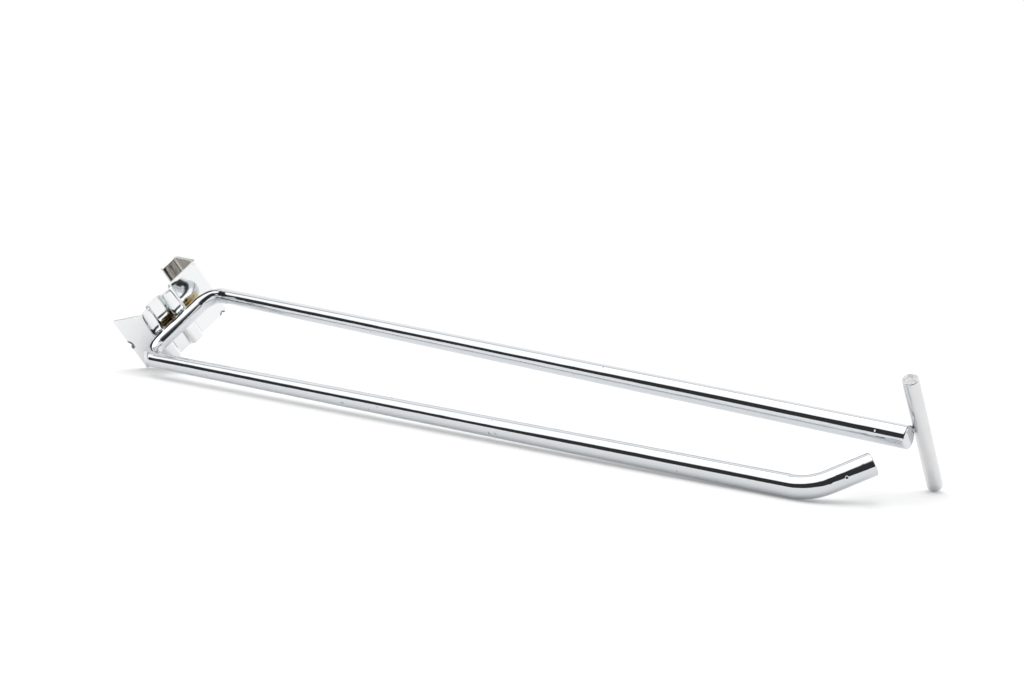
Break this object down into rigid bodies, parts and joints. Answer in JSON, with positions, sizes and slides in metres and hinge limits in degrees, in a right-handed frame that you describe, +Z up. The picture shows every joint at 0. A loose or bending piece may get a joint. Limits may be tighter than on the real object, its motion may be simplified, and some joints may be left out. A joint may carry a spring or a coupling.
{
  "type": "rail display hook",
  "caption": "Chrome wire display hook: a long prong with a raised tip and a label arm with a crossbar, on a saddle bracket that hangs over a flat rail.",
  "frame": {"origin": "middle of the saddle's seat: the underside of the bracket's web, which rests on the rail", "axes": "+Z up as the hook hangs in use, +Y towards the rail, so the prong and the label arm reach out along -Y, +X to the right seen from the front"},
  "size_m": [0.0393, 0.3098, 0.0518],
  "materials": {
    "bright_chrome": "polished",
    "plated_sheet": "polished",
    "satin_chrome": "satin",
    "weld_metal": "heat tinted"
  },
  "bodies": {
    "root": {"hook_wire": "bright_chrome", "saddle_bracket": "plated_sheet", "label_crossbar": "satin_chrome", "bracket_welds": "weld_metal", "crossbar_weld": "weld_metal"}
  },
  "joints": []
}
